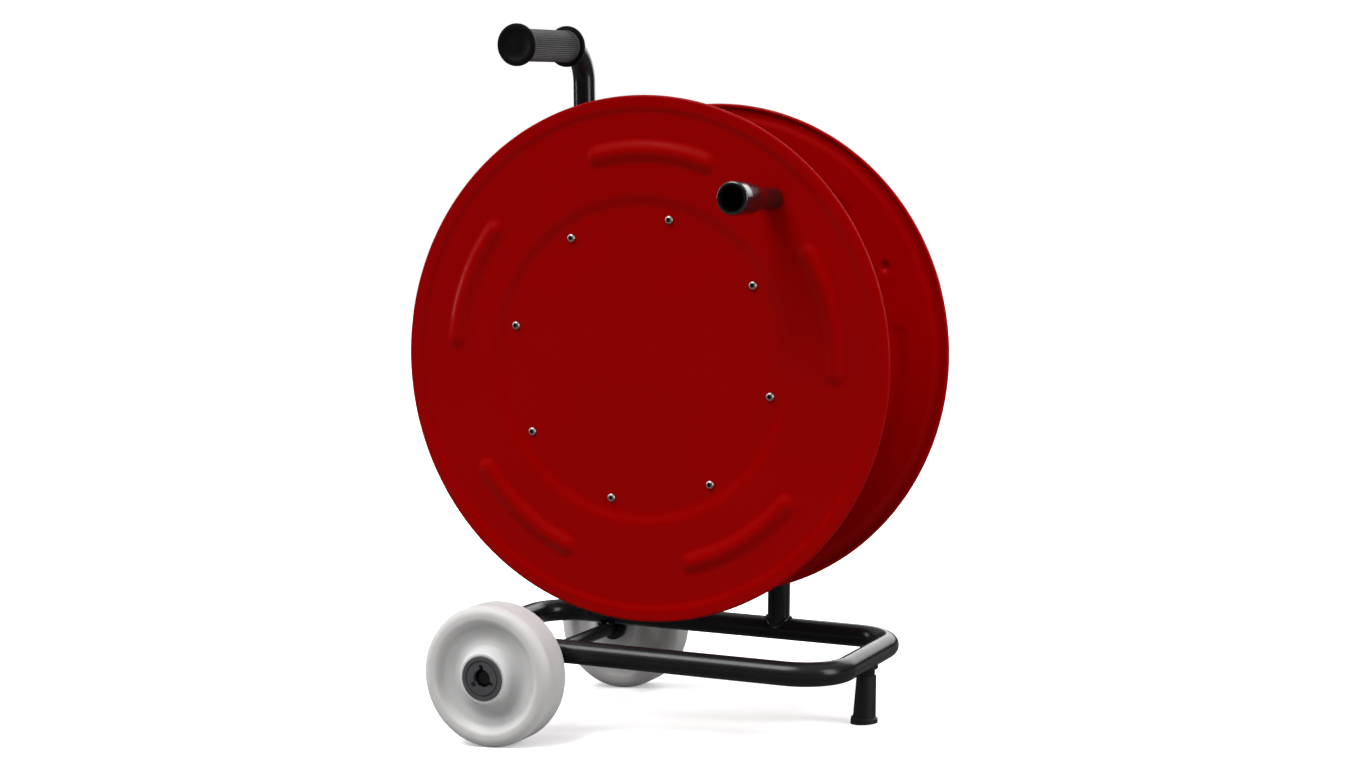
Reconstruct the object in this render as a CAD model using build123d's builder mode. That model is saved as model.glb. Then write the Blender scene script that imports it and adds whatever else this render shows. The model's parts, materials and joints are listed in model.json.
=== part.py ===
from build123d import *
from math import cos, radians, sin
import os

# Hose reel cart. X runs along the two ground rails, from the wheels (-X) to the foot (+X).
# Y is the drum's axis, with the crank on the -Y side. Z is up, and the floor is Z = 0.
# The origin is on the floor, under the middle of the drum. All sizes are in millimetres.

# ---- driving dimensions: wheels and axle
wheel_radius = 80.0
wheel_width = 50.0
hub_half_length = 30.0
axle_radius = 8.0
near_wheel_y = -154.5
far_wheel_y = 187.5

# ---- driving dimensions: frame, measured along and square to the rails from the axle's axis
frame_tilt = 4.0
tube_radius = 13.45
tube_wall = 2.0
near_rail_y = -102.5
far_rail_y = 135.5
rail_back = -77.0
rail_front = 380.0
rail_bend = 52.0
post_along = 228.0
post_bend = 50.0
upright_foot_along = -22.0
upright_top_along = -37.5
handle_up = 718.2
handle_bend = 41.0
handle_droop = 3.0
grip_length = 134.0
grip_gap = 3.0
grip_radius = 19.0
grip_collar_radius = 24.5
grip_end_wall = 5.0

# ---- driving dimensions: drum
hub_along = 152.5
hub_up = 355.5
cross_tube_rise = 45.0
drum_radius = 291.0
drum_width = 215.0
rim_rise = 5.0
annulus_rise = 3.0
annulus_inner_radius = 190.0
annulus_outer_radius = 270.0
rim_inner_radius = 280.0
rim_roll = 3.25
rib_rise = 4.0
rib_radius = 230.0
rib_width = 28.0
rib_sweep = 33.0
rib_count = 5
sheet = 1.5
barrel_radius = 165.0
barrel_sheet = 1.2
lip_inner_radius = 148.0
screw_circle = 158.5
screw_count = 8
screw_angle = 73.7
screw_radius = 2.5
screw_hole_radius = 2.75
screw_head_radius = 4.75
screw_head_height = 2.8
near_rib_angle = 83.0
far_rib_angle = 57.8
spindle_radius = 15.0
spindle_bore = 9.0
running_gap = 0.05
side_gap = 0.3

# ---- driving dimensions: crank knob
knob_circle = 237.0
knob_angle = 45.0
knob_end_y = -218.5
knob_hole_radius = 4.3
knob_bolt_radius = 4.0
knob_hexagon = 7.5

# ---- driving dimensions: water way
water_y = -66.0
outlet_angle = 120.0
pipe_radius = 10.65

# ---- places worked out from the driving dimensions
tilt_cos = cos(radians(frame_tilt))
tilt_sin = sin(radians(frame_tilt))
axle_x = -(hub_along * tilt_cos + hub_up * tilt_sin)
drum_z = wheel_radius - hub_along * tilt_sin + hub_up * tilt_cos
rail_up = axle_radius + tube_radius
cross_up = hub_up + cross_tube_rise
disc_face = drum_width / 2 - rim_rise
disc_back = disc_face - sheet
annulus_face = disc_face + annulus_rise
drum_axis = Axis((0, 0, drum_z), (0, 1, 0))

os.makedirs("parts", exist_ok=True)


def on_frame(along, across, up):
    """World point from distances along the rails, across them and square to them."""
    x = axle_x + along * tilt_cos + up * tilt_sin
    z = wheel_radius - along * tilt_sin + up * tilt_cos
    return Vector(x, across, z)


def on_drum(radius, angle, y):
    """World point at a radius and angle about the drum's axis."""
    return Vector(radius * cos(radians(angle)), y, drum_z + radius * sin(radians(angle)))


def side_plane(y):
    """Plane square to the drum's axis, X to the right and Z up, facing -Y, centred on the axis."""
    return Plane(origin=(0, y, drum_z), x_dir=(1, 0, 0), z_dir=(0, -1, 0))


def axle_plane(y):
    """The same, centred on the wheel axle."""
    return Plane(origin=(axle_x, y, wheel_radius), x_dir=(1, 0, 0), z_dir=(0, -1, 0))


def frame_plane(y):
    """Plane square to Y that lies along the tilted rails, facing -Y, centred on the axle."""
    return Plane(origin=(axle_x, y, wheel_radius), x_dir=(tilt_cos, 0, -tilt_sin), z_dir=(0, -1, 0))


def write(piece, name):
    piece.part.label = name
    export_step(piece.part, f"parts/{name}.step")


def bent_tube(route, bend):
    """Round tube along a route of points, with bends of one radius."""
    with BuildPart() as tube:
        with BuildLine() as path:
            FilletPolyline(*route, radius=bend)
        with BuildSketch(Plane(origin=path.line @ 0, z_dir=path.line % 0)):
            Circle(tube_radius)
            Circle(tube_radius - tube_wall, mode=Mode.SUBTRACT)
        sweep(path=path.line)
    return tube.part


def rod(start, end, radius):
    """Solid round bar between two points."""
    with BuildPart() as bar:
        with BuildSketch(Plane(origin=start, z_dir=end - start)):
            Circle(radius)
        extrude(amount=(end - start).length)
    return bar.part


def ring(plane_at, y_low, y_high, inner, outer):
    """Plain ring about Y between two stations; plane_at gives the plane at a station."""
    with BuildPart() as washer:
        with BuildSketch(plane_at(y_high)):
            Circle(outer)
            if inner > 0:
                Circle(inner, mode=Mode.SUBTRACT)
        extrude(amount=y_high - y_low)
    return washer.part


# ---------------------------------------------------------------- frame

# The ground loop is one tube bent round four corners and butt welded, with drain holes below.
rail_plane = Plane(
    origin=on_frame(0, 0, rail_up),
    x_dir=(tilt_cos, 0, -tilt_sin),
    z_dir=(tilt_sin, 0, tilt_cos),
)
drain_hole_radius = 4.0
loop_corners = [
    (rail_back, near_rail_y),
    (rail_front, near_rail_y),
    (rail_front, far_rail_y),
    (rail_back, far_rail_y),
]


def loop_bar(radius):
    """Solid round bar bent to the ground loop's shape."""
    with BuildPart() as bar:
        with BuildLine(rail_plane) as path:
            FilletPolyline(*loop_corners, radius=rail_bend, close=True)
        with BuildSketch(Plane(origin=path.line @ 0, z_dir=path.line % 0)):
            Circle(radius)
        sweep(path=path.line)
    return bar.part


loop_outside = loop_bar(tube_radius)
with BuildPart() as base_loop:
    add(loop_outside)
    add(loop_bar(tube_radius - tube_wall), mode=Mode.SUBTRACT)
    with BuildSketch(rail_plane.offset(-tube_radius - 1)):
        with Locations((rail_front - 120, near_rail_y), (rail_front - 120, far_rail_y)):
            Circle(drain_hole_radius)
    extrude(amount=tube_radius, mode=Mode.SUBTRACT)
write(base_loop, "base_loop")

upright_slope = (upright_top_along - upright_foot_along) / (handle_up - rail_up)
cross_end_along = upright_foot_along + upright_slope * (cross_up - rail_up)
upright_foot = on_frame(upright_foot_along, far_rail_y, rail_up)
handle_corner = on_frame(upright_top_along, far_rail_y, handle_up)
handle_direction = Vector(0, -cos(radians(handle_droop)), -sin(radians(handle_droop)))
handle_tip = handle_corner + handle_direction * (handle_bend + grip_gap + grip_length - grip_end_wall)

# The upright stands on the far rail and turns over at the top to carry the grip.
with BuildPart() as handle_upright:
    add(bent_tube([upright_foot, handle_corner, handle_tip], handle_bend))
    add(loop_outside, mode=Mode.SUBTRACT)
write(handle_upright, "handle_upright")

# The side post rises from the far rail, bends over and runs across to the upright.
post_foot = on_frame(post_along, far_rail_y, rail_up)
post_corner = on_frame(post_along, far_rail_y, cross_up)
cross_end = on_frame(cross_end_along, far_rail_y, cross_up)
with BuildPart() as side_post:
    add(bent_tube([post_foot, post_corner, cross_end], post_bend))
    add(loop_outside, mode=Mode.SUBTRACT)
    add(rod(upright_foot, handle_corner, tube_radius), mode=Mode.SUBTRACT)
write(side_post, "side_post")

# The hub plate fills the corner of the side post and carries the spindle.
plate_thickness = 6.0
plate_left = 100.0
plate_drop = 50.0
plate_corner_bend = 12.0
plate_bottom = hub_up - plate_drop
plate_right = post_along - tube_radius
plate_top = cross_up - tube_radius
plate_front_y = far_rail_y - plate_thickness / 2
plate_back_y = far_rail_y + plate_thickness / 2
with BuildPart() as hub_plate:
    with BuildSketch(frame_plane(plate_back_y)) as plate_outline:
        with Locations(((plate_left + plate_right) / 2, (plate_bottom + plate_top) / 2)):
            Rectangle(plate_right - plate_left, plate_top - plate_bottom)
        by_side = plate_outline.vertices().sort_by(Axis.X)
        fillet(by_side[:2].sort_by(Axis.Y)[0], plate_corner_bend)
        inner_corner = plate_outline.vertices().sort_by(Axis.X)[-2:].sort_by(Axis.Y)[-1]
        fillet(inner_corner, post_bend - tube_radius)
        with Locations((hub_along, hub_up)):
            Circle(spindle_radius, mode=Mode.SUBTRACT)
    extrude(amount=plate_thickness)
write(hub_plate, "hub_plate")

# The leg hangs from the middle of the front tube, and its rubber foot is cut level with the floor.
leg_radius = 9.5
leg_off_centre = 5.0
leg_y = (near_rail_y + far_rail_y) / 2 + leg_off_centre
leg_lean = 2.7
leg_drop = 54.0
leg_top = on_frame(rail_front, leg_y, rail_up)
leg_foot = on_frame(rail_front - leg_lean, leg_y, -leg_drop)
leg_direction = (leg_foot - leg_top).normalized()
leg_length = leg_top.Z / -leg_direction.Z
foot_base_thickness = 6.0
with BuildPart() as leg_tube:
    with BuildSketch(Plane(origin=leg_top, z_dir=leg_direction)):
        Circle(leg_radius)
        Circle(leg_radius - tube_wall, mode=Mode.SUBTRACT)
    extrude(amount=leg_length - foot_base_thickness)
    add(loop_outside, mode=Mode.SUBTRACT)
write(leg_tube, "leg_tube")

foot_top = tube_radius + 7.0
foot_outline = [
    (leg_radius, foot_top),
    (leg_radius + 1.6, foot_top),
    (leg_radius + 3.4, leg_length - 7.5),
    (leg_radius + 5.6, leg_length - 6.0),
    (leg_radius + 6.0, leg_length + 4.0),
    (0, leg_length + 4.0),
    (0, leg_length - foot_base_thickness),
    (leg_radius, leg_length - foot_base_thickness),
]
with BuildPart() as foot_cap:
    with BuildSketch(Plane(origin=leg_top, x_dir=(0, 1, 0), z_dir=Vector(0, 1, 0).cross(leg_direction))):
        with BuildLine():
            Polyline(*foot_outline, close=True)
        make_face()
    revolve(axis=Axis(leg_top, leg_direction))
    split(bisect_by=Plane.XY, keep=Keep.TOP)
write(foot_cap, "foot_cap")

# Moulded grip: a ribbed barrel between two collars, closed at the near end.
grip_start = handle_corner + handle_direction * (handle_bend + grip_gap)
grip_collar = 6.0
with BuildPart() as handle_grip:
    with BuildSketch(Plane(origin=grip_start, x_dir=handle_direction, z_dir=(1, 0, 0))) as grip_outline:
        with Locations((0, 0)):
            Rectangle(grip_length, grip_radius, align=(Align.MIN, Align.MIN))
            Rectangle(grip_collar, grip_collar_radius, align=(Align.MIN, Align.MIN))
        with Locations((grip_length - grip_collar, 0)):
            Rectangle(grip_collar, grip_collar_radius, align=(Align.MIN, Align.MIN))
        fillet(grip_outline.vertices().group_by(Axis.Y)[-1], 2.0)
        Rectangle(
            grip_length - grip_end_wall,
            tube_radius,
            align=(Align.MIN, Align.MIN),
            mode=Mode.SUBTRACT,
        )
    revolve(axis=Axis(grip_start, handle_direction))
write(handle_grip, "handle_grip")

# ---------------------------------------------------------------- wheels and axle

axle_overhang = 25.0
with BuildPart() as wheel_axle:
    add(ring(axle_plane, near_wheel_y - axle_overhang, far_wheel_y + axle_overhang, 0, axle_radius))
    chamfer(wheel_axle.edges().filter_by(GeomType.CIRCLE), 0.8)
write(wheel_axle, "wheel_axle")

cover_proud = 1.0
spacer_radius = 15.5
near_spacer = (near_wheel_y + hub_half_length + side_gap, near_rail_y - tube_radius)
far_spacer = (far_rail_y + tube_radius, far_wheel_y - hub_half_length - side_gap)
with BuildPart() as axle_spacers:
    for low, high in (near_spacer, far_spacer):
        add(ring(axle_plane, low, high, axle_radius, spacer_radius))
write(axle_spacers, "axle_spacers")

bush_outer_end = 20.0
clip_thickness = 1.2
clip_radius = 12.5
clip_offset = bush_outer_end + side_gap
near_clip_y = near_wheel_y - clip_offset - clip_thickness
far_clip_y = far_wheel_y + clip_offset
with BuildPart() as axle_clips:
    for low in (near_clip_y, far_clip_y):
        add(ring(axle_plane, low, low + clip_thickness, axle_radius, clip_radius))
write(axle_clips, "axle_clips")

# Wheel section: radius and distance from the middle plane, with the bends that soften its corners.
hub_bore = 13.0
cover_radius = 25.2
cover_seat = 24.0
cover_bore = 10.5
slot_circle = 12.0
slot_count = 3
slot_length = 7.0
slot_width = 5.0
groove_radius = 19.4
groove_width = 2.0
dish_outline = [
    (28.5, hub_half_length),
    (33.0, 19.0),
    (44.0, 14.5),
    (57.0, 17.5),
    (64.0, wheel_width / 2),
    (wheel_radius, wheel_width / 2),
]
dish_bends = [2.5, 9.0, 14.0, 8.0, 6.0, 10.5]
outer_outline = [
    (hub_bore, 0),
    (hub_bore, cover_seat),
    (cover_radius, cover_seat),
    (cover_radius, hub_half_length),
]
inner_outline = [(hub_bore, 0), (hub_bore, hub_half_length)]


def wheel(y, side):
    """Dished one-piece wheel; side is the way its outer face looks along Y."""
    with BuildPart() as body:
        for face, start in ((side, outer_outline), (-side, inner_outline)):
            half_plane = Plane(origin=(axle_x, y, wheel_radius), x_dir=(1, 0, 0), z_dir=(0, 0, face))
            with BuildSketch(half_plane) as half:
                with BuildLine():
                    Polyline(*start, *dish_outline, (wheel_radius, 0), close=True)
                make_face()
                for corner, bend in zip(dish_outline, dish_bends):
                    fillet(half.vertices().sort_by_distance(corner)[0], bend)
            revolve(axis=Axis((axle_x, 0, wheel_radius), (0, 1, 0)))
    return body.part


def bearing_cover(y, side):
    """Grey cover pressed into the hub's outer end, keyed by three slots and a ring groove."""
    seat = Plane(origin=(axle_x, y + side * cover_seat, wheel_radius), x_dir=(1, 0, 0), z_dir=(0, side, 0))
    front_y = y + side * (hub_half_length + cover_proud)
    with BuildPart() as cover:
        with BuildSketch(seat):
            Circle(cover_radius)
            Circle(cover_bore, mode=Mode.SUBTRACT)
            with PolarLocations(slot_circle, slot_count, start_angle=-side * 90):
                Rectangle(slot_length, slot_width, mode=Mode.SUBTRACT)
        extrude(amount=hub_half_length + cover_proud - cover_seat)
        fillet(cover.faces().sort_by(Axis.Y, reverse=side < 0)[-1].outer_wire().edges(), 1.2)
        with BuildSketch(Plane(origin=(axle_x, front_y, wheel_radius), z_dir=(0, side, 0))):
            Circle(groove_radius + groove_width / 2)
            Circle(groove_radius - groove_width / 2, mode=Mode.SUBTRACT)
        extrude(amount=-1.0, mode=Mode.SUBTRACT)
    return cover.part


def wheel_bush(y, side):
    """Plain bush that lines the wheel's bore from its inner face nearly to the cover."""
    ends = sorted((y - side * hub_half_length, y + side * bush_outer_end))
    return ring(axle_plane, ends[0], ends[1], axle_radius + running_gap, hub_bore)


with BuildPart() as near_wheel:
    add(wheel(near_wheel_y, -1))
write(near_wheel, "near_wheel")

with BuildPart() as far_wheel:
    add(wheel(far_wheel_y, 1))
write(far_wheel, "far_wheel")

with BuildPart() as near_wheel_cover:
    add(bearing_cover(near_wheel_y, -1))
write(near_wheel_cover, "near_wheel_cover")

with BuildPart() as far_wheel_cover:
    add(bearing_cover(far_wheel_y, 1))
write(far_wheel_cover, "far_wheel_cover")

with BuildPart() as near_wheel_bush:
    add(wheel_bush(near_wheel_y, -1))
write(near_wheel_bush, "near_wheel_bush")

with BuildPart() as far_wheel_bush:
    add(wheel_bush(far_wheel_y, 1))
write(far_wheel_bush, "far_wheel_bush")

# ---------------------------------------------------------------- spindle

near_bearing_y = -40.0
far_bearing_y = disc_face + 1.5
bush_flange = 3.0
washer_sheet = 1.5
circlip_sheet = 1.5
spindle_near_y = -50.0
spindle_far_y = 152.0
near_washer_y = near_bearing_y - bush_flange - side_gap - washer_sheet
far_washer_y = far_bearing_y + bush_flange + side_gap
circlip_y = near_washer_y - circlip_sheet
circlip_groove = spindle_radius - 0.8
collar_radius = 20.0
washer_radius = 24.0

with BuildPart() as spindle:
    add(ring(side_plane, spindle_near_y, spindle_far_y, spindle_bore, spindle_radius))
    add(ring(side_plane, circlip_y, near_washer_y, circlip_groove, spindle_radius + 1), mode=Mode.SUBTRACT)
write(spindle, "spindle")

with BuildPart() as spindle_collar:
    add(ring(side_plane, far_washer_y + washer_sheet, plate_front_y, spindle_radius, collar_radius))
write(spindle_collar, "spindle_collar")

with BuildPart() as thrust_washers:
    for low in (near_washer_y, far_washer_y):
        add(ring(side_plane, low, low + washer_sheet, spindle_radius, washer_radius))
write(thrust_washers, "thrust_washers")

with BuildPart() as spindle_circlip:
    with BuildSketch(side_plane(near_washer_y)):
        Circle(18.5)
        Circle(circlip_groove, mode=Mode.SUBTRACT)
        with Locations((0, -spindle_radius)):
            Rectangle(9.0, 12.0, mode=Mode.SUBTRACT)
        with Locations((-7.0, -17.0), (7.0, -17.0)):
            Circle(3.2)
            Circle(1.2, mode=Mode.SUBTRACT)
    extrude(amount=circlip_sheet)
write(spindle_circlip, "spindle_circlip")

# ---------------------------------------------------------------- drum

def flange(side, rib_angle, bore, hole_angles):
    """Pressed disc: recessed centre, raised ribs and a rolled rim. side is -1 near, +1 far."""
    origin = (0, side * disc_face, drum_z)
    half = sheet / 2
    roll_centre = drum_radius - rim_roll - half
    crest = rim_rise - half
    with BuildPart() as disc:
        with BuildSketch(Plane(origin=origin, x_dir=(1, 0, 0), z_dir=(0, 0, side))):
            with BuildLine():
                sheet_line = Polyline(
                    (bore - 2, -half),
                    (barrel_radius, -half),
                    (annulus_inner_radius, annulus_rise - half),
                    (annulus_outer_radius, annulus_rise - half),
                    (rim_inner_radius, crest),
                    (roll_centre, crest),
                )
                JernArc(sheet_line @ 1, (1, 0), rim_roll, -180)
                offset(amount=half, side=Side.BOTH)
            make_face()
            with Locations((bore, 0)):
                Rectangle(10, 10, align=(Align.MAX, Align.CENTER), mode=Mode.SUBTRACT)
        revolve(axis=drum_axis)
        outward = Plane(origin=origin, x_dir=(1, 0, 0), z_dir=(0, side, 0))
        turn = -side
        for face, mode in ((annulus_rise, Mode.ADD), (annulus_rise - sheet, Mode.SUBTRACT)):
            for number in range(rib_count):
                start = turn * (rib_angle + 360 / rib_count * number) - rib_sweep / 2
                end = start + rib_sweep
                with BuildSketch(outward.offset(face)):
                    with BuildLine():
                        CenterArc((0, 0), rib_radius + rib_width / 2, start, rib_sweep)
                        CenterArc((0, 0), rib_radius - rib_width / 2, start, rib_sweep)
                        for tip, turned in ((end, end), (start, start + 180)):
                            CenterArc(Vector(rib_radius, 0).rotate(Axis.Z, tip), rib_width / 2, turned, 180)
                    make_face()
                extrude(amount=rib_rise, taper=60, mode=mode)
        with BuildSketch(outward.offset(-sheet)):
            with PolarLocations(screw_circle, screw_count, start_angle=turn * screw_angle):
                Circle(screw_hole_radius)
            for hole_angle in hole_angles:
                with PolarLocations(knob_circle, 1, start_angle=turn * hole_angle):
                    Circle(knob_hole_radius)
        extrude(amount=annulus_rise + sheet, mode=Mode.SUBTRACT)
    return disc.part


with BuildPart() as near_flange:
    add(flange(-1, near_rib_angle, 0.0, [knob_angle]))
write(near_flange, "near_flange")

hub_tube_radius = 24.0
hub_tube_bore = 21.0
with BuildPart() as far_flange:
    add(flange(1, far_rib_angle, hub_tube_radius, []))
write(far_flange, "far_flange")

# Rolled barrel with a lip turned inward at each end, and a hole for the water pipe.
with BuildPart() as drum_barrel:
    add(ring(side_plane, -disc_back, disc_back, barrel_radius - barrel_sheet, barrel_radius))
    for low in (-disc_back, disc_back - sheet):
        add(ring(side_plane, low, low + sheet, lip_inner_radius, barrel_radius - barrel_sheet))
    with BuildSketch(side_plane(disc_back)):
        with PolarLocations(screw_circle, screw_count, start_angle=screw_angle):
            Circle(screw_hole_radius)
    extrude(amount=2 * disc_back, mode=Mode.SUBTRACT)
    pipe_inside = on_drum(barrel_radius - 10, outlet_angle, water_y)
    pipe_outside = on_drum(barrel_radius + 10, outlet_angle, water_y)
    add(rod(pipe_inside, pipe_outside, pipe_radius), mode=Mode.SUBTRACT)
write(drum_barrel, "drum_barrel")

inner_disc_y = near_bearing_y + 2.0
lightening_circle = 95.0
lightening_count = 6
lightening_radius = 30.0
with BuildPart() as inner_disc:
    with BuildSketch(side_plane(inner_disc_y + sheet)):
        Circle(barrel_radius - barrel_sheet)
        Circle(hub_tube_radius, mode=Mode.SUBTRACT)
        with PolarLocations(lightening_circle, lightening_count):
            Circle(lightening_radius, mode=Mode.SUBTRACT)
    extrude(amount=sheet)
write(inner_disc, "inner_disc")

with BuildPart() as hub_tube:
    add(ring(side_plane, near_bearing_y, far_bearing_y, hub_tube_bore, hub_tube_radius))
write(hub_tube, "hub_tube")

bush_length = 25.0
bush_bore = spindle_radius + running_gap
bush_flange_radius = 26.0
with BuildPart() as near_hub_bush:
    add(ring(side_plane, near_bearing_y, near_bearing_y + bush_length, bush_bore, hub_tube_bore))
    add(ring(side_plane, near_bearing_y - bush_flange, near_bearing_y, bush_bore, bush_flange_radius))
write(near_hub_bush, "near_hub_bush")

with BuildPart() as far_hub_bush:
    add(ring(side_plane, far_bearing_y - bush_length, far_bearing_y, bush_bore, hub_tube_bore))
    add(ring(side_plane, far_bearing_y, far_bearing_y + bush_flange, bush_bore, bush_flange_radius))
write(far_hub_bush, "far_hub_bush")


def screws(side):
    """Round-headed socket screws that hold a flange to the barrel's lip."""
    outward = Plane(origin=(0, side * disc_face, drum_z), x_dir=(1, 0, 0), z_dir=(0, side, 0))
    with BuildPart() as group:
        with BuildSketch(outward):
            with PolarLocations(screw_circle, screw_count, start_angle=-side * screw_angle):
                Circle(screw_head_radius)
        extrude(amount=screw_head_height)
        crowns = group.faces().filter_by(Axis.Y).sort_by(Axis.Y, reverse=side < 0)[-screw_count:]
        fillet(crowns.edges(), 1.8)
        with BuildSketch(outward.offset(screw_head_height)):
            with PolarLocations(screw_circle, screw_count, start_angle=-side * screw_angle):
                RegularPolygon(1.75, 6)
        extrude(amount=-1.8, mode=Mode.SUBTRACT)
        with BuildSketch(outward):
            with PolarLocations(screw_circle, screw_count, start_angle=-side * screw_angle):
                Circle(screw_radius)
        extrude(amount=-9.0)
    return group.part


def nuts(side):
    """Hexagon weld nuts on the inside of a barrel lip."""
    lip_back = Plane(origin=(0, side * (disc_back - sheet), drum_z), x_dir=(1, 0, 0), z_dir=(0, side, 0))
    with BuildPart() as group:
        with BuildSketch(lip_back):
            with PolarLocations(screw_circle, screw_count, start_angle=-side * screw_angle):
                RegularPolygon(4.6, 6)
                Circle(screw_radius, mode=Mode.SUBTRACT)
        extrude(amount=-4.0)
    return group.part


with BuildPart() as near_flange_screws:
    add(screws(-1))
write(near_flange_screws, "near_flange_screws")

with BuildPart() as far_flange_screws:
    add(screws(1))
write(far_flange_screws, "far_flange_screws")

with BuildPart() as near_flange_nuts:
    add(nuts(-1))
write(near_flange_nuts, "near_flange_nuts")

with BuildPart() as far_flange_nuts:
    add(nuts(1))
write(far_flange_nuts, "far_flange_nuts")

# ---------------------------------------------------------------- crank knob

knob_spot = on_drum(knob_circle, knob_angle, 0)
knob_foot_y = -annulus_face - 0.5
knob_length = knob_foot_y - knob_end_y
knob_floor = 50.0
knob_outline = [
    (4.06, 0),
    (12.5, 0),
    (12.0, 40.0),
    (17.2, 70.0),
    (18.0, knob_length - 14.0),
    (17.4, knob_length),
    (13.4, knob_length),
    (12.6, knob_floor),
    (4.06, knob_floor),
]


def knob_plane(y):
    """Plane square to the knob's axis, facing -Y."""
    return Plane(origin=(knob_spot.X, y, knob_spot.Z), x_dir=(1, 0, 0), z_dir=(0, -1, 0))


with BuildPart() as crank_knob:
    knob_section = Plane(origin=(knob_spot.X, knob_foot_y, knob_spot.Z), x_dir=(1, 0, 0), z_dir=(0, 0, -1))
    with BuildSketch(knob_section) as knob_half:
        with BuildLine():
            Polyline(*knob_outline, close=True)
        make_face()
        fillet(knob_half.vertices().sort_by_distance((17.2, 70.0))[0], 30.0)
        fillet(knob_half.vertices().sort_by_distance((12.0, 40.0))[0], 30.0)
        fillet(knob_half.vertices().sort_by_distance((17.4, knob_length))[0], 2.4)
    revolve(axis=Axis(knob_spot, (0, 1, 0)))
write(crank_knob, "crank_knob")

head_low = knob_foot_y - knob_floor - 0.4 - 6.0
with BuildPart() as knob_bolt:
    with BuildSketch(knob_plane(head_low + 6.0)):
        RegularPolygon(knob_hexagon, 6)
    extrude(amount=6.0)
    add(ring(knob_plane, head_low + 6.0, -annulus_face + 15.0, 0, knob_bolt_radius))
write(knob_bolt, "knob_bolt")

annulus_back_y = -annulus_face + sheet
with BuildPart() as knob_washer:
    add(ring(knob_plane, annulus_back_y, annulus_back_y + 1.6, knob_bolt_radius, 8.5))
write(knob_washer, "knob_washer")

with BuildPart() as knob_nut:
    with BuildSketch(knob_plane(annulus_back_y + 8.4)):
        RegularPolygon(knob_hexagon, 6)
        Circle(knob_bolt_radius, mode=Mode.SUBTRACT)
    extrude(amount=6.8)
write(knob_nut, "knob_nut")

# ---------------------------------------------------------------- water way

# Threaded inlet at the back of the hollow spindle.
inlet_thread_radius = 13.22
inlet_hex_y = spindle_far_y + 2.0
inlet_bore = 6.5
with BuildPart() as inlet_seal:
    add(ring(side_plane, spindle_far_y, inlet_hex_y, spindle_bore, 14.0))
write(inlet_seal, "inlet_seal")

with BuildPart() as inlet_adaptor:
    with BuildSketch(side_plane(inlet_hex_y + 10.0)):
        RegularPolygon(17.5, 6)
    extrude(amount=10.0)
    add(ring(side_plane, spindle_far_y - 14.0, inlet_hex_y, 0, spindle_bore))
    add(ring(side_plane, inlet_hex_y + 10.0, inlet_hex_y + 26.0, 0, inlet_thread_radius))
    add(ring(side_plane, spindle_far_y - 20.0, inlet_hex_y + 30.0, 0, inlet_bore), mode=Mode.SUBTRACT)
write(inlet_adaptor, "inlet_adaptor")

# The elbow's spigot turns in the spindle's bore on two rubber rings.
spigot_radius = spindle_bore - running_gap
ring_groove = 6.9
ring_stations = (-34.0, -42.0)
elbow_reach = 35.0
elbow_near_y = water_y - 14.0
elbow_far_y = water_y + 14.0
elbow_end = on_drum(elbow_reach, outlet_angle, water_y)
with BuildPart() as swivel_elbow:
    add(ring(side_plane, elbow_near_y, elbow_far_y, 0, 14.0))
    add(ring(side_plane, elbow_far_y, -26.0, 0, spigot_radius))
    add(rod(on_drum(0, outlet_angle, water_y), elbow_end, 13.0))
    for station in ring_stations:
        groove = ring(side_plane, station - 1.2, station + 1.2, ring_groove, spigot_radius + 1)
        add(groove, mode=Mode.SUBTRACT)
    add(ring(side_plane, water_y - 8.0, -20.0, 0, 5.5), mode=Mode.SUBTRACT)
    add(rod(on_drum(0, outlet_angle, water_y), elbow_end, 4.5), mode=Mode.SUBTRACT)
write(swivel_elbow, "swivel_elbow")

with BuildPart() as swivel_o_rings:
    for station in ring_stations:
        with BuildSketch(Plane(origin=(0, station, drum_z), x_dir=(1, 0, 0), z_dir=(0, 0, 1))):
            with Locations((7.92, 0)):
                Circle(0.98)
        revolve(axis=drum_axis)
write(swivel_o_rings, "swivel_o_rings")

pipe_end_radius = barrel_radius + 5.0
with BuildPart() as riser_pipe:
    add(rod(elbow_end, on_drum(pipe_end_radius, outlet_angle, water_y), pipe_radius))
    add(rod(elbow_end, on_drum(pipe_end_radius, outlet_angle, water_y), 8.0), mode=Mode.SUBTRACT)
write(riser_pipe, "riser_pipe")

pipe_plane = Plane(
    origin=on_drum(0, outlet_angle, water_y),
    x_dir=(0, 1, 0),
    z_dir=on_drum(1, outlet_angle, 0) - on_drum(0, outlet_angle, 0),
)
with BuildPart() as bulkhead_nut:
    with BuildSketch(pipe_plane.offset(150.0)):
        RegularPolygon(15.5, 6)
        Circle(pipe_radius, mode=Mode.SUBTRACT)
    extrude(amount=8.0)
write(bulkhead_nut, "bulkhead_nut")

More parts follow.
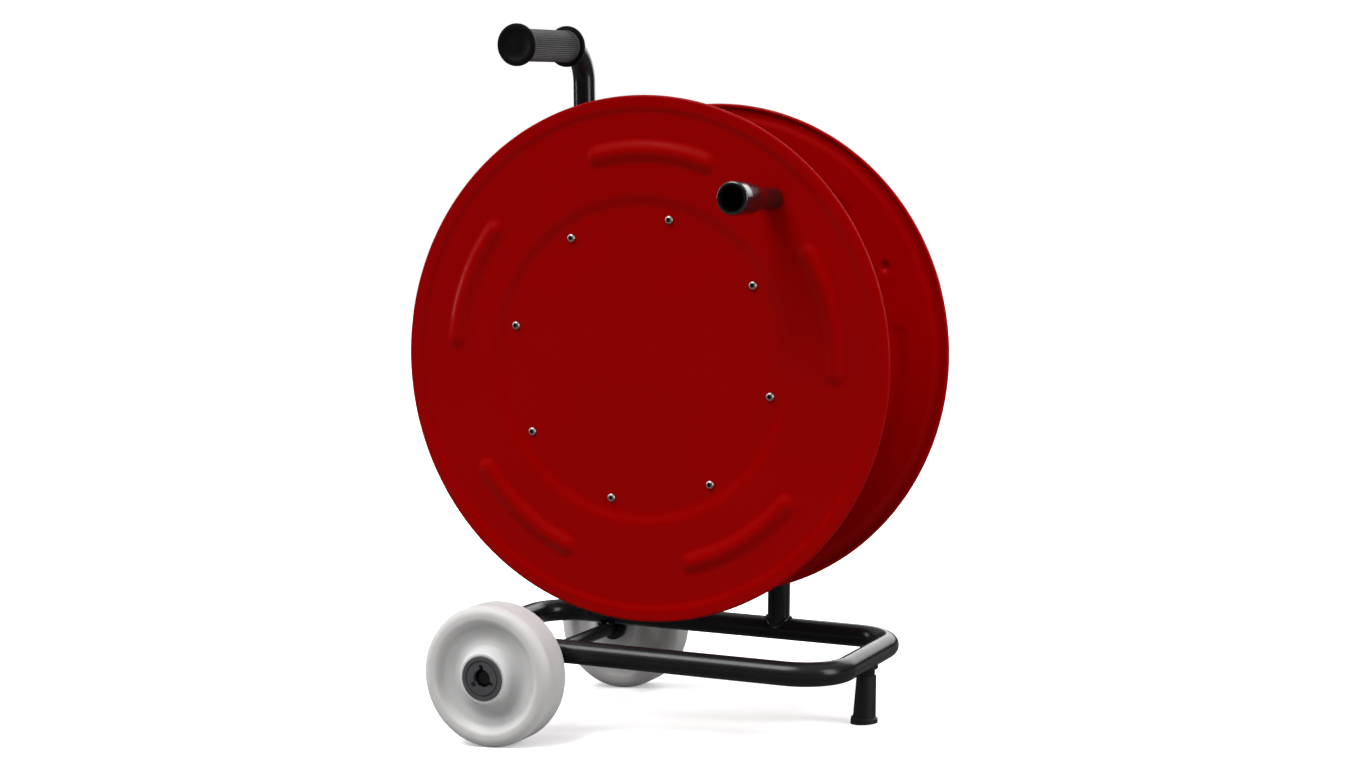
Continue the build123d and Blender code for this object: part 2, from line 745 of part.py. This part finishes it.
# The outlet elbow turns the water along the winding, and ends in a barbed tail for the hose.
outlet_up = 183.0
tail_radius = 9.0
along_drum = on_drum(1, outlet_angle + 90, 0) - on_drum(0, outlet_angle + 90, 0)
outlet_corner = on_drum(outlet_up, outlet_angle, water_y)
tail_start = outlet_corner + along_drum * 12.0
tail_end = outlet_corner + along_drum * 52.0
with BuildPart() as outlet_elbow:
    add(rod(on_drum(pipe_end_radius, outlet_angle, water_y), outlet_corner, 13.0))
    with Locations(outlet_corner):
        Sphere(13.0)
    add(rod(outlet_corner, tail_start, 13.0))
    add(rod(tail_start, tail_end, tail_radius))
    for barb in (22.0, 32.0, 42.0):
        with BuildSketch(Plane(origin=outlet_corner + along_drum * barb, z_dir=along_drum)):
            Circle(tail_radius + 1.4)
        extrude(amount=7.0, taper=11)
    add(rod(on_drum(pipe_end_radius, outlet_angle, water_y), outlet_corner, 7.5), mode=Mode.SUBTRACT)
    add(rod(outlet_corner, tail_end, 6.5), mode=Mode.SUBTRACT)
write(outlet_elbow, "outlet_elbow")
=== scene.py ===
import json
import math

import bmesh
import bpy
from mathutils import Matrix, Vector


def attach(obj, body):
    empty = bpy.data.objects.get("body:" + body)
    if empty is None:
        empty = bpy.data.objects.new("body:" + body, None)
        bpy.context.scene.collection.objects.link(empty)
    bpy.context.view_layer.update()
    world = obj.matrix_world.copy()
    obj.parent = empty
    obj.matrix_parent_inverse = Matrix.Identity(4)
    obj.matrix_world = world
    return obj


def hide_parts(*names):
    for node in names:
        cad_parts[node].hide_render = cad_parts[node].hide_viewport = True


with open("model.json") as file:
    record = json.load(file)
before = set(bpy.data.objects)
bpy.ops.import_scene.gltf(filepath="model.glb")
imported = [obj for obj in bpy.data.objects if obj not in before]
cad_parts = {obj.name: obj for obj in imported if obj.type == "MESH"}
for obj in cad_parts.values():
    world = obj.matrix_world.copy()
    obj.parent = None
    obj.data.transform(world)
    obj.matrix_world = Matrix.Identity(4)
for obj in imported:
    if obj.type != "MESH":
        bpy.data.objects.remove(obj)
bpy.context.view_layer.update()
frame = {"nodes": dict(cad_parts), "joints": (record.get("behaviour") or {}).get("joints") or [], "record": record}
nodes = frame["nodes"]
record = frame["record"]
slot_of = {entry["node"]: entry["material_slot"] for entry in record["subparts"]}
joints = {joint["name"]: joint for joint in frame["joints"]}

# The drum's and the wheels' centres, in metres, read from the frame.
hub = Vector(joints["drum_spin"]["pos_m"])
axle = Vector(joints["near_wheel_spin"]["pos_m"])

# The ground loop slopes down from the wheels to the foot.
tilt = math.radians(4.0)
along = Vector((math.cos(tilt), 0, -math.sin(tilt)))
across = Vector((0, 1, 0))
up = Vector((math.sin(tilt), 0, math.cos(tilt)))

# Tube radius in metres, then places on the tube frame in millimetres for on_frame.
TUBE_RADIUS = 0.01345
NEAR_RAIL, FAR_RAIL = -102.5, 135.5
RAIL_HEIGHT = 21.45
UPRIGHT_FOOT, UPRIGHT_TOP = -22.0, -37.5
UPRIGHT_TOP_HEIGHT = 718.2


def on_frame(forward_mm, side_mm, up_mm):
    """World point from millimetres along the rails, across them and square to them."""
    base = Vector((axle.x, side_mm / 1000, axle.z))
    return base + along * (forward_mm / 1000) + up * (up_mm / 1000)


# ------------------------------------------------------------------ materials

def ramp(nt, fac, stops):
    """Colour ramp over a value; each stop is a place and a grey or an RGB colour."""
    node = nt.nodes.new("ShaderNodeValToRGB")
    elements = node.color_ramp.elements
    while len(elements) < len(stops):
        elements.new(0.5)
    for element, (place, value) in zip(elements, stops):
        element.position = place
        element.color = (*value, 1) if isinstance(value, tuple) else (value, value, value, 1)
    nt.links.new(fac, node.inputs["Fac"])
    return node.outputs["Color"]


def noise(nt, scale, detail=4.0, rough=0.55):
    """Noise in object coordinates."""
    coord = nt.nodes.new("ShaderNodeTexCoord").outputs["Object"]
    node = nt.nodes.new("ShaderNodeTexNoise")
    node.inputs["Scale"].default_value = scale
    node.inputs["Detail"].default_value = detail
    node.inputs["Roughness"].default_value = rough
    nt.links.new(coord, node.inputs["Vector"])
    return node.outputs["Fac"]


def material(name, low, high, rough, patch, grain, metallic=0.0, bump=0.05, bump_size=0.0003,
             coat=0.0, coat_rough=0.1, subsurface=0.0, specular=0.5):
    """Painted, moulded or plated surface: patchy colour, grainy roughness and a fine bump."""
    mat = bpy.data.materials.new(name)
    mat.use_nodes = True
    nt = mat.node_tree
    shader = nt.nodes["Principled BSDF"]
    colour = ramp(nt, noise(nt, patch, 5.0), [(0.3, low), (0.7, high)])
    nt.links.new(colour, shader.inputs["Base Color"])
    gloss = ramp(nt, noise(nt, patch * 7, 6.0), [(0.3, rough[0]), (0.7, rough[1])])
    nt.links.new(gloss, shader.inputs["Roughness"])
    node = nt.nodes.new("ShaderNodeBump")
    node.inputs["Strength"].default_value = bump
    node.inputs["Distance"].default_value = bump_size
    nt.links.new(noise(nt, grain, 3.0, 0.5), node.inputs["Height"])
    nt.links.new(node.outputs["Normal"], shader.inputs["Normal"])
    shader.inputs["Metallic"].default_value = metallic
    shader.inputs["Specular IOR Level"].default_value = specular
    shader.inputs["Coat Weight"].default_value = coat
    shader.inputs["Coat Roughness"].default_value = coat_rough
    shader.inputs["Subsurface Weight"].default_value = subsurface
    shader.inputs["Subsurface Radius"].default_value = (1.0, 0.95, 0.9)
    shader.inputs["Subsurface Scale"].default_value = 0.012
    return mat


mats = {
    "paint": material("red_powder_coat", (0.214, 0.0001, 0.0001), (0.232, 0.0002, 0.0002), (0.3, 0.36),
                      patch=4.0, grain=520.0, bump=0.05, bump_size=0.0002, specular=0.015,
                      coat=0.04, coat_rough=0.08),
    "tube": material("black_powder_coat", (0.0052, 0.0052, 0.0058), (0.0076, 0.0076, 0.0084), (0.2, 0.27),
                     patch=14.0, grain=1100.0, bump=0.04, bump_size=0.0003, specular=0.2),
    "polyamide": material("natural_polyamide", (0.437, 0.433, 0.43), (0.49, 0.486, 0.483), (0.36, 0.46),
                          patch=22.0, grain=700.0, bump=0.08, bump_size=0.0002, subsurface=0.6, specular=0.2),
    "grey_plastic": material("grey_bearing_cover", (0.038, 0.039, 0.042), (0.054, 0.055, 0.059), (0.38, 0.5),
                             patch=60.0, grain=1600.0, bump=0.15, specular=0.3),
    "black_plastic": material("black_plastic", (0.004, 0.004, 0.0042), (0.007, 0.007, 0.0075), (0.4, 0.5),
                              patch=60.0, grain=1600.0, bump=0.15, specular=0.25),
    "gloss_black": material("gloss_black_knob", (0.003, 0.0026, 0.0028), (0.005, 0.0043, 0.0045),
                            (0.16, 0.22), patch=30.0, grain=400.0, bump=0.04, coat=0.6,
                            coat_rough=0.14, specular=0.3),
    "grip": material("grey_ribbed_rubber", (0.034, 0.033, 0.033), (0.048, 0.047, 0.047), (0.48, 0.6),
                     patch=40.0, grain=1500.0, bump=0.25, specular=0.25),
    "grip_end": material("black_grip_end", (0.0022, 0.0022, 0.0024), (0.0038, 0.0038, 0.0042), (0.42, 0.52),
                         patch=40.0, grain=1500.0, bump=0.2, specular=0.06),
    "rubber": material("black_rubber", (0.006, 0.006, 0.0065), (0.01, 0.01, 0.0105), (0.5, 0.62),
                       patch=50.0, grain=1200.0, bump=0.3, specular=0.25),
    # Flat near-black for the screws' hex sockets: painted shade in the recesses, where the zinc would lie in
    # shadow.
    "socket": material("socket_painted_shade", (0.008, 0.006, 0.006), (0.014, 0.011, 0.011), (0.6, 0.7),
                       patch=120.0, grain=1800.0, specular=0.1),
    # Zinc plate in its own grey with a pink-brown tint: the tint is a painted reflection of the red discs.
    "zinc": material("zinc_plate_painted_red_reflection", (0.31, 0.265, 0.26), (0.43, 0.38, 0.37), (0.3, 0.42), metallic=1.0,
                     patch=120.0, grain=1800.0, bump=0.1, bump_size=0.0002),
    "spring_steel": material("spring_steel", (0.02, 0.02, 0.022), (0.04, 0.04, 0.043), (0.3, 0.42),
                             metallic=1.0, patch=120.0, grain=1800.0, bump=0.1),
    "brass": material("machined_brass", (0.6, 0.4, 0.15), (0.72, 0.5, 0.21), (0.22, 0.36), metallic=1.0,
                      patch=70.0, grain=1500.0, bump=0.1, bump_size=0.0002),
}

for node_name, obj in nodes.items():
    obj.data.materials.clear()
    obj.data.materials.append(mats[slot_of[node_name]])


# ------------------------------------------------------------------ mesh helpers

def piece(name, mesh, body, slot, angle=None):
    """Object from a mesh, smooth up to an angle in degrees, that rides on a body."""
    obj = bpy.data.objects.new(name, mesh)
    bpy.context.scene.collection.objects.link(obj)
    mesh.materials.append(mats[slot])
    for face in mesh.polygons:
        face.use_smooth = True
    if angle is not None:
        mesh.set_sharp_from_angle(angle=math.radians(angle))
    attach(obj, body)
    return obj


def grid_mesh(name, rows, closed_rows=False):
    """Mesh from rows of points; each row is a closed ring of the same length."""
    verts = [point for row in rows for point in row]
    count = len(rows[0])
    faces = []
    total = len(rows)
    for i in range(total if closed_rows else total - 1):
        low, high = i * count, (i + 1) % total * count
        for j in range(count):
            k = (j + 1) % count
            faces.append((low + j, low + k, high + k, high + j))
    mesh = bpy.data.meshes.new(name)
    mesh.from_pydata([tuple(v) for v in verts], [], faces)
    mesh.update()
    return mesh


def fix_normals(mesh):
    """Merge doubled points and turn every face outwards."""
    bm = bmesh.new()
    bm.from_mesh(mesh)
    bmesh.ops.remove_doubles(bm, verts=bm.verts, dist=1e-6)
    bmesh.ops.dissolve_degenerate(bm, edges=bm.edges, dist=1e-7)
    bmesh.ops.recalc_face_normals(bm, faces=bm.faces)
    bm.to_mesh(mesh)
    bm.free()
    return mesh


def smoothstep(t):
    """Smooth rise from 0 to 1."""
    t = min(max(t, 0.0), 1.0)
    return t * t * (3 - 2 * t)


# ------------------------------------------------------------------ pressed flanges

# Height of the disc's flat face from the drum's middle, in metres. The rest is in millimetres and degrees.
FACE_Y = 0.1025
SHEET = 1.5
RIB_RADIUS, RIB_HALF, RIB_SWEEP = 230.0, 14.0, 33.0
RIB_PITCH = 72.0
DIMPLE_AT, DIMPLE_WIDTH, DIMPLE_DEPTH = 236.0, 5.5, 3.2
RING_START, RING_WIDTH, RING_RISE = 168.0, 17.0, 3.0
RIM_START, RIM_WIDTH, RIM_RISE = 270.0, 10.0, 2.0
RIM_BEAD, RIM_RADIUS, RIM_CREST = 2.4, 291.0, 5.0
DISC_STEPS = 480


def rib_height(r, angle, first, rise):
    """Height of the pressed ribs at a radius in mm and an angle in degrees."""
    turn = abs((angle - first + RIB_PITCH / 2) % RIB_PITCH - RIB_PITCH / 2)
    if turn < RIB_SWEEP / 2:
        distance = abs(r - RIB_RADIUS)
    else:
        over = math.radians(turn - RIB_SWEEP / 2)
        distance = math.hypot(r * math.cos(over) - RIB_RADIUS, r * math.sin(over))
    if distance >= RIB_HALF:
        return 0.0
    return rise * math.cos(math.pi * distance / RIB_HALF / 2) ** 1.6


def dimple_depth(r, angle, at):
    """Pressed mark at the crank knob's radius on the far disc, raised on its outer face."""
    turn = math.radians(angle - at)
    gap = math.hypot(r * math.cos(turn) - DIMPLE_AT, r * math.sin(turn))
    return DIMPLE_DEPTH * math.exp(-(gap / DIMPLE_WIDTH) ** 4)


def face_height(r):
    """Outer face of the pressed disc: flat centre, raised ring, then the rim."""
    ring = RING_RISE * smoothstep((r - RING_START) / RING_WIDTH)
    return ring + RIM_RISE * smoothstep((r - RIM_START) / RIM_WIDTH)


def flange(name, side, node, first, rise, bore, dimple=None):
    """Pressed sheet disc with ribs and a rim curled into a closed bead."""
    radii = [bore, bore + 3, 60, 110, 150, 160, 166]
    radii += [RING_START + 1.5 * i for i in range(13)] + [196, 202, 208, 213]
    radii += [215 + 1.5 * i for i in range(21)] + [250, 258, 266]
    radii += [RIM_START + 1.25 * i for i in range(9)] + [283.5, 286.0]
    curl = []
    for t in range(0, 286, 15):
        turn = math.radians(t)
        reach = RIM_RADIUS - RIM_BEAD * (1 - math.sin(turn))
        curl.append((reach, RIM_CREST - RIM_BEAD * (1 - math.cos(turn))))
    outer = [(r, face_height(r), True) for r in radii]
    inner = [(r, face_height(r) - SHEET, True) for r in reversed(radii)]
    rows = []
    for r, h, pressed in outer + [(r, h, False) for r, h in curl] + inner:
        row = []
        for j in range(DISC_STEPS):
            angle = 360.0 * j / DISC_STEPS
            lift = 0.0
            if pressed:
                lift = rib_height(r, angle, first, rise)
                if dimple is not None:
                    lift += dimple_depth(r, angle, dimple)
            a = math.radians(angle)
            y = side * (FACE_Y + (h + lift) / 1000)
            row.append((hub.x + r / 1000 * math.cos(a), y, hub.z + r / 1000 * math.sin(a)))
        rows.append(row)
    mesh = fix_normals(grid_mesh(name, rows, closed_rows=True))
    obj = piece(name, mesh, "drum", "paint", angle=50)
    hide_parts(node)


flange("near_flange_pressing", -1, "near_flange", 83.0, 4.0, 0.0)
flange("far_flange_pressing", 1, "far_flange", 57.8, 2.0, 24.0, dimple=21.8)


# ------------------------------------------------------------------ flange screws

SCREW_CIRCLE, SCREW_FIRST, SCREW_COUNT = 158.5, 73.7, 8


def screws(name, side, node):
    """Domed screws with deep hexagon sockets, on their circle round the hub; the sockets carry painted shade."""
    head = [(0.0, -9.0), (2.3, -9.0), (2.5, -8.8), (2.5, 0.0), (4.3, 0.0), (4.75, 0.35), (4.72, 0.9),
            (4.45, 1.6), (3.95, 2.2), (3.3, 2.6), (2.75, 2.78)]
    socket = [(2.45, 2.75), (2.3, 2.5), (2.25, 0.7), (0.0, 0.3)]
    around = 36
    bm = bmesh.new()
    for number in range(SCREW_COUNT):
        place = math.radians(SCREW_FIRST + 360 / SCREW_COUNT * number)
        rows = []
        for r, h in head + socket:
            row = []
            for j in range(around):
                a = 2 * math.pi * j / around
                flat = math.cos(math.pi / 6) / math.cos(a % (math.pi / 3) - math.pi / 6)
                reach = r * flat if (r, h) in socket else r
                x = hub.x + (SCREW_CIRCLE * math.cos(place) + reach * math.cos(a)) / 1000
                z = hub.z + (SCREW_CIRCLE * math.sin(place) + reach * math.sin(a)) / 1000
                row.append(bm.verts.new((x, side * (FACE_Y + h / 1000), z)))
            rows.append(row)
        for i, (low, high) in enumerate(zip(rows, rows[1:])):
            for j in range(around):
                k = (j + 1) % around
                face = bm.faces.new((low[j], low[k], high[k], high[j]))
                # Socket rows take the second material: painted shade inside the hexagon.
                face.material_index = 1 if i >= len(head) else 0
    mesh = bpy.data.meshes.new(name)
    bm.to_mesh(mesh)
    bm.free()
    obj = piece(name, fix_normals(mesh), "drum", "zinc", angle=35)
    # Second material: painted shade for the sockets.
    mesh.materials.append(mats["socket"])
    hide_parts(node)


screws("near_flange_screw_heads", -1, "near_flange_screws")
screws("far_flange_screw_heads", 1, "far_flange_screws")


# ------------------------------------------------------------------ ribbed grip

def grip():
    """Ribbed barrel between two black collars, closed at its outer end."""
    lean = math.radians(3.0)
    bend_and_gap = 0.044
    collar_end, second_collar = 0.0064, 0.1276
    axis = Vector((0, -math.cos(lean), -math.sin(lean)))
    corner = on_frame(UPRIGHT_TOP, FAR_RAIL, UPRIGHT_TOP_HEIGHT)
    start = corner + axis * bend_and_gap
    u = Vector((1, 0, 0))
    v = axis.cross(u).normalized()
    ribs, per = 46, 6
    count = ribs * per

    def ring_row(s, r, groove=0.0):
        row = []
        for j in range(count):
            a = 2 * math.pi * j / count
            wave = (1 + math.cos(ribs * a)) / 2
            radius = r - groove * (1 - wave ** 0.6)
            row.append(start + axis * (s / 1000) + (u * math.cos(a) + v * math.sin(a)) * (radius / 1000))
        return row

    first_collar = [(0.0, 13.6), (0.0, 22.5), (0.4, 23.8), (2.0, 24.5), (4.0, 24.5), (5.5, 23.9),
                    (6.0, 22.5), (6.3, 19.4), (7.5, 18.7), (9.0, 18.7)]
    barrel = [(10.5 + 3.5 * i, 19.0) for i in range(33)]
    last_collar = [(124.5, 18.7), (126.5, 18.7), (127.7, 19.4), (128.0, 22.5), (128.5, 23.9), (130.0, 24.5),
                   (132.0, 24.5), (133.6, 23.8), (134.0, 22.5), (134.0, 17.5), (133.3, 16.6), (133.3, 8.0),
                   (133.3, 0.0)]
    rows = [ring_row(s, r) for s, r in first_collar]
    rows += [ring_row(s, r, groove=1.1) for s, r in barrel]
    rows += [ring_row(s, r) for s, r in last_collar]
    mesh = fix_normals(grid_mesh("grip_moulding", rows))
    obj = piece("grip_moulding", mesh, "frame", "grip", angle=40)
    mesh.materials.append(mats["grip_end"])
    for face in mesh.polygons:
        s = (face.center - start).dot(axis)
        if s < collar_end or s > second_collar:
            face.material_index = 1
    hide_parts("handle_grip")


grip()


# ------------------------------------------------------------------ threaded inlet

def inlet():
    """Hexagon and threaded spigot of the water inlet, with a chamfered bore."""
    count = 96
    first = 0.154
    hexagon_radius, bore, thread_radius = 0.0175, 0.0065, 0.01322
    pitch, thread_depth = 0.0018, 0.0011

    def row(y, radius, hexagon=0.0, thread=0.0):
        points = []
        for j in range(count):
            a = 2 * math.pi * j / count
            flat = math.cos(math.pi / 6) / math.cos((a + math.pi / 6) % (math.pi / 3) - math.pi / 6)
            r = radius * (1 - hexagon) + min(hexagon_radius * flat, radius) * hexagon
            wave = abs(((y - first) / pitch - a / (2 * math.pi)) % 1.0 * 2 - 1)
            reach = r - thread * wave
            points.append((hub.x + reach * math.cos(a), y, hub.z + reach * math.sin(a)))
        return points

    rows = [row(first, bore), row(first, 0.0148)]
    rows += [row(first + 0.0002, 0.0156, 1), row(first + 0.0014, hexagon_radius, 1)]
    rows += [row(first + 0.0086, hexagon_radius, 1), row(first + 0.0098, 0.0156, 1)]
    rows += [row(first + 0.01, 0.0146)]
    rows += [row(first + 0.01, 0.0126), row(first + 0.0112, 0.0126)]
    rows += [row(first + 0.0114 + pitch / 10 * i, thread_radius, 0, thread_depth) for i in range(78)]
    rows += [row(first + 0.0257, 0.0122), row(first + 0.026, 0.0118), row(first + 0.026, 0.0076),
             row(first + 0.0252, bore), row(first + 0.012, bore)]
    mesh = fix_normals(grid_mesh("inlet_fitting", rows, closed_rows=True))
    obj = piece("inlet_fitting", mesh, "frame", "brass", angle=30)
    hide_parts("inlet_adaptor")


inlet()


# ------------------------------------------------------------------ weld beads

def bead(name, points, radius, body="frame", closed=True, slot="tube"):
    """Rippled weld bead along a path."""
    count = len(points)
    rows = []
    for i, point in enumerate(points):
        before = points[i - 1] if closed or i else points[0]
        after = points[(i + 1) % count] if closed or i < count - 1 else points[-1]
        direction = (after - before).normalized()
        side = direction.cross(Vector((0.31, 0.77, 0.56))).normalized()
        other = direction.cross(side)
        phase = i * 2.1
        swell = radius * (1 + 0.09 * math.sin(phase) + 0.07 * math.sin(phase * 0.37 + 1))
        rows.append([point + (side * math.cos(t * math.pi / 5) + other * math.sin(t * math.pi / 5)) * swell
                     for t in range(10)])
    if closed:
        mesh = grid_mesh(name, rows, closed_rows=True)
    else:
        mesh = grid_mesh(name, [[points[0]] * 10] + rows + [[points[-1]] * 10])
    return piece(name, fix_normals(mesh), body, slot)


def saddle(at, branch, main, branch_radius, main_radius, count=72):
    """Closed curve where a round branch meets a round main tube."""
    branch = branch.normalized()
    main = main.normalized()
    first = (main - branch * main.dot(branch)).normalized()
    second = branch.cross(first)
    points = []
    for i in range(count):
        a = 2 * math.pi * i / count
        offset = (first * math.cos(a) + second * math.sin(a)) * branch_radius
        flat_branch = branch - main * branch.dot(main)
        flat_offset = offset - main * offset.dot(main)
        aa = flat_branch.length_squared
        ab = flat_branch.dot(flat_offset)
        cc = flat_offset.length_squared - main_radius ** 2
        h = (-ab + math.sqrt(max(ab * ab - aa * cc, 0.0))) / aa
        points.append(at + offset + branch * h)
    return points


# Places along the rails, across them and above them, in millimetres for on_frame.
POST_FOOT = 228.0
CROSS_TUBE_HEIGHT = 400.5
LEG_AT, LEG_ACROSS, LEG_FOOT, LEG_FOOT_HEIGHT = 380.0, 21.5, 377.3, -54.0
AXLE_WELD, AXLE_WELD_HEIGHT, AXLE_WELD_HALF = 5.5, 8.0, 11.0
PLATE_TOP, PLATE_SIDE, PLATE_INNER, PLATE_OUTER = 387.4, 214.8, 132.2, 138.8

# The leg's weld and the barrel's seam, in metres; the seam lies 0.6 radians round from the bottom.
LEG_RADIUS = 0.0098
SEAM_RADIUS, SEAM_TURN, SEAM_START = 0.1651, 0.6, -0.0995

wall = TUBE_RADIUS + 0.0003
post_at = on_frame(POST_FOOT, FAR_RAIL, RAIL_HEIGHT)
bead("weld_post_foot", saddle(post_at, up, along, wall, wall), 0.0026)
upright_at = on_frame(UPRIGHT_FOOT, FAR_RAIL, RAIL_HEIGHT)
lean_up = (on_frame(UPRIGHT_TOP, FAR_RAIL, UPRIGHT_TOP_HEIGHT) - upright_at).normalized()
bead("weld_upright_foot", saddle(upright_at, lean_up, along, wall, wall), 0.0032)
share = (CROSS_TUBE_HEIGHT - RAIL_HEIGHT) / (UPRIGHT_TOP_HEIGHT - RAIL_HEIGHT)
cross_at = on_frame(UPRIGHT_FOOT + (UPRIGHT_TOP - UPRIGHT_FOOT) * share, FAR_RAIL, CROSS_TUBE_HEIGHT)
bead("weld_cross_tube", saddle(cross_at, along, lean_up, wall, wall), 0.0032)
leg_at = on_frame(LEG_AT, LEG_ACROSS, RAIL_HEIGHT)
leg_way = (on_frame(LEG_FOOT, LEG_ACROSS, LEG_FOOT_HEIGHT) - leg_at).normalized()
bead("weld_leg", saddle(leg_at, leg_way, across, LEG_RADIUS, wall), 0.003)

seam_x = hub.x - SEAM_RADIUS * math.sin(SEAM_TURN)
seam_z = hub.z - SEAM_RADIUS * math.cos(SEAM_TURN)
seam = [Vector((seam_x, SEAM_START + 0.0022 * i, seam_z)) for i in range(91)]
bead("weld_barrel_seam", seam, 0.0013, body="drum", closed=False, slot="paint")

for rail, rail_y in (("near", NEAR_RAIL), ("far", FAR_RAIL)):
    for side, offset in (("front", AXLE_WELD), ("back", -AXLE_WELD)):
        path = [on_frame(offset, rail_y - AXLE_WELD_HALF + 1.1 * i, AXLE_WELD_HEIGHT) for i in range(21)]
        bead(f"weld_axle_{rail}_{side}", path, 0.0026, closed=False)

for side, plate_y in (("inner", PLATE_INNER), ("outer", PLATE_OUTER)):
    path = [on_frame(104 + 1.6 * i, plate_y, PLATE_TOP) for i in range(44)]
    bead(f"weld_plate_top_{side}", path, 0.002, closed=False)
    path = [on_frame(PLATE_SIDE, plate_y, 309 + 1.6 * i) for i in range(27)]
    bead(f"weld_plate_side_{side}", path, 0.002, closed=False)


# ------------------------------------------------------------------ floor, light and camera

# What the floor reflects to ordinary and to glossy rays, and the glow that it adds for the camera.
FLOOR_BOUNCE = 0.33
FLOOR_GLOSS = 0.14
FLOOR_LIFT = 0.32


def floor():
    """Plain pale floor that looks white and yet throws little light up at the drum."""
    mesh = bpy.data.meshes.new("floor")
    size = 30.0
    corners = [(-size, -size, 0), (size, -size, 0), (size, size, 0), (-size, size, 0)]
    mesh.from_pydata(corners, [], [(0, 1, 2, 3)])
    obj = bpy.data.objects.new("floor", mesh)
    bpy.context.scene.collection.objects.link(obj)
    mat = bpy.data.materials.new("pale_floor")
    mat.use_nodes = True
    nt = mat.node_tree
    shader = nt.nodes["Principled BSDF"]
    seen = ramp(nt, noise(nt, 3.0), [(0.3, 0.955), (0.7, 0.965)])
    ray = nt.nodes.new("ShaderNodeLightPath")
    unseen = ramp(nt, ray.outputs["Is Glossy Ray"], [(0.0, FLOOR_BOUNCE), (1.0, FLOOR_GLOSS)])
    pick = nt.nodes.new("ShaderNodeMix")
    pick.data_type = "RGBA"
    nt.links.new(ray.outputs["Is Camera Ray"], pick.inputs["Factor"])
    nt.links.new(unseen, pick.inputs["A"])
    nt.links.new(seen, pick.inputs["B"])
    nt.links.new(pick.outputs["Result"], shader.inputs["Base Color"])
    lift = nt.nodes.new("ShaderNodeMath")
    lift.operation = "MULTIPLY"
    lift.inputs[1].default_value = FLOOR_LIFT
    nt.links.new(ray.outputs["Is Camera Ray"], lift.inputs[0])
    nt.links.new(lift.outputs["Value"], shader.inputs["Emission Strength"])
    shader.inputs["Emission Color"].default_value = (1, 1, 1, 1)
    shader.inputs["Roughness"].default_value = 0.9
    shader.inputs["Specular IOR Level"].default_value = 0.1
    mesh.materials.append(mat)


floor()

# Graded soft light from above, behind a plain white background.
world = bpy.data.worlds.new("studio")
bpy.context.scene.world = world
world.use_nodes = True
wnt = world.node_tree
background = wnt.nodes["Background"]
sky = wnt.nodes.new("ShaderNodeTexCoord")
split = wnt.nodes.new("ShaderNodeSeparateXYZ")
wnt.links.new(sky.outputs["Generated"], split.inputs["Vector"])
wnt.links.new(ramp(wnt, split.outputs["Z"], [(0.2, 0.02), (0.75, 1.0)]), background.inputs["Color"])
background.inputs["Strength"].default_value = 0.9
white = wnt.nodes.new("ShaderNodeBackground")
white.inputs["Color"].default_value = (1, 1, 1, 1)
white.inputs["Strength"].default_value = 1.02
ray_kind = wnt.nodes.new("ShaderNodeLightPath")
mix = wnt.nodes.new("ShaderNodeMixShader")
wnt.links.new(ray_kind.outputs["Is Camera Ray"], mix.inputs["Fac"])
wnt.links.new(background.outputs["Background"], mix.inputs[1])
wnt.links.new(white.outputs["Background"], mix.inputs[2])
wnt.links.new(mix.outputs["Shader"], wnt.nodes["World Output"].inputs["Surface"])


def lamp(name, kind, at, target, power, size, size_y=None):
    """Sun or soft box; size is the sun's angle in degrees or the box's width in metres."""
    light = bpy.data.lights.new(name, kind)
    light.energy = power
    if kind == "SUN":
        light.angle = math.radians(size)
    else:
        light.shape = "RECTANGLE"
        light.size = size
        light.size_y = size_y
    obj = bpy.data.objects.new(name, light)
    bpy.context.scene.collection.objects.link(obj)
    obj.location = at
    obj.rotation_euler = (Vector(target) - Vector(at)).to_track_quat("-Z", "Y").to_euler()


lamp("overhead", "SUN", (-0.65, -1.3, 3.0), (0, 0, 0.4), 3.4, 34)
lamp("left_box", "AREA", (-2.7, -0.75, 1.5), (0, 0, 0.45), 22, 0.4, 1.6)
lamp("back_box", "AREA", (0.35, 2.8, 1.4), (0, 0, 0.4), 42, 2.6, 1.7)
lamp("right_box", "AREA", (2.6, -0.45, 0.95), (0, 0, 0.4), 50, 1.0, 1.7)

# Camera, fitted to the photograph.
camera = bpy.data.cameras.new("camera")
camera.lens = 58.32
camera.sensor_width = 36
camera.clip_end = 60
camera_object = bpy.data.objects.new("camera", camera)
bpy.context.scene.collection.objects.link(camera_object)
yaw, pitch, roll = 0.42176, 0.05314, -0.0545
forward = Vector((-math.sin(yaw) * math.cos(pitch), math.cos(yaw) * math.cos(pitch), -math.sin(pitch)))
right = Vector((math.cos(yaw), math.sin(yaw), 0))
over = right.cross(forward)
cam_x = right * math.cos(roll) + over * math.sin(roll)
cam_y = over * math.cos(roll) - right * math.sin(roll)
turn = Matrix((cam_x, cam_y, -forward)).transposed().to_4x4()
camera_object.matrix_world = Matrix.Translation((1.03419, -2.30332, 0.52474)) @ turn
bpy.context.scene.camera = camera_object
bpy.context.scene.view_settings.view_transform = "Standard"
